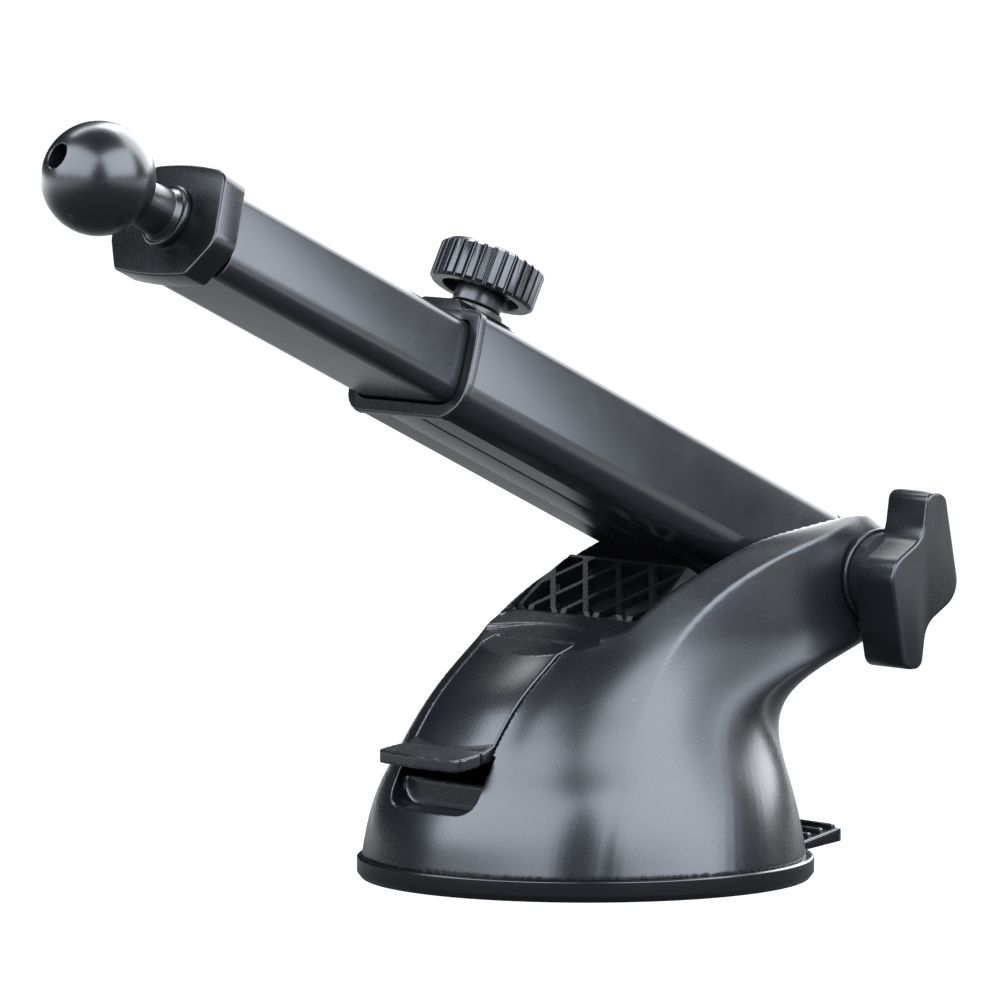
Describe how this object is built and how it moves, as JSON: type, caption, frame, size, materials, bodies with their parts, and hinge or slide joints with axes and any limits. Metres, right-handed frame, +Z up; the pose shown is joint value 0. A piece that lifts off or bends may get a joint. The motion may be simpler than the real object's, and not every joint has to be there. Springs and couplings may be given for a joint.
{
  "type": "car phone mount arm",
  "caption": "Suction base with a press lever, a hinged telescopic arm locked by a wing knob and a thumb screw, and a ball stud for a phone holder.",
  "frame": {"origin": "centre of the flat suction face, on the surface the base stands on", "axes": "+Z up out of that surface, -Y the way the arm leans out, X along the tilt hinge with its wing knob on +X"},
  "size_m": [0.0702, 0.1518, 0.1182],
  "materials": {
    "satin": "satin dark graphite plastic",
    "tube": "satin dark graphite, smooth extruded faces",
    "black": "fine matt black plastic",
    "rubber": "smooth soft black rubber",
    "steel": "plain zinc-plated steel",
    "brass": "plain brass insert"
  },
  "bodies": {
    "base": {"housing": "satin", "suction_cup": "rubber", "base_plate": "black", "rib_frame": "black", "lever_pin": "steel", "base_screw_1": "steel", "base_screw_2": "steel", "base_screw_3": "steel", "hinge_bolt": "steel", "hinge_cap": "satin", "friction_washer_left": "steel", "friction_washer_right": "steel", "knob_washer": "satin", "return_spring": "steel"},
    "lever": {"suction_lever": "satin"},
    "stem_unit": {"stem": "black", "stem_pin": "steel"},
    "knob": {"wing_knob": "satin", "knob_nut": "brass"},
    "arm": {"arm_root": "satin", "root_screw": "steel", "outer_tube": "tube", "bottom_strip": "black", "collar": "black", "thumb_nut": "brass", "pressure_pad": "rubber"},
    "extension": {"inner_tube": "tube", "inner_plug": "black", "end_plate": "black", "ball_stud": "tube"},
    "clamp_screw": {"thumb_screw": "satin"}
  },
  "joints": [
    {"name": "arm_tilt", "type": "hinge", "parent": "base", "child": "arm", "pos_m": [0, 0.0424, 0.0452], "axis": [-1, 0, 0], "range_deg": [-4, 105]},
    {"name": "arm_extend", "type": "slide", "parent": "arm", "child": "extension", "axis": [0, -0.9007, 0.4344], "range_m": [-0.033, 0.01]},
    {"name": "wing_knob_turn", "type": "hinge", "parent": "base", "child": "knob", "pos_m": [0, 0.0424, 0.0452], "axis": [1, 0, 0], "continuous": true},
    {"name": "thumb_screw_turn", "type": "hinge", "parent": "arm", "child": "clamp_screw", "pos_m": [0, -0.0261, 0.0783], "axis": [0, 0.4344, 0.9007], "continuous": true},
    {"name": "lever_press", "type": "hinge", "parent": "base", "child": "lever", "pos_m": [0, -0.0095, 0.031], "axis": [1, 0, 0], "range_deg": [0, 8]},
    {"name": "stem_lift", "type": "slide", "parent": "base", "child": "stem_unit", "axis": [0, 0, 1], "range_m": [0, 0.0012], "deforming": ["return_spring"]}
  ],
  "couplings": [
    {"joint": "lever_press", "follows": "stem_lift", "rad_per_m": 113.8}
  ]
}
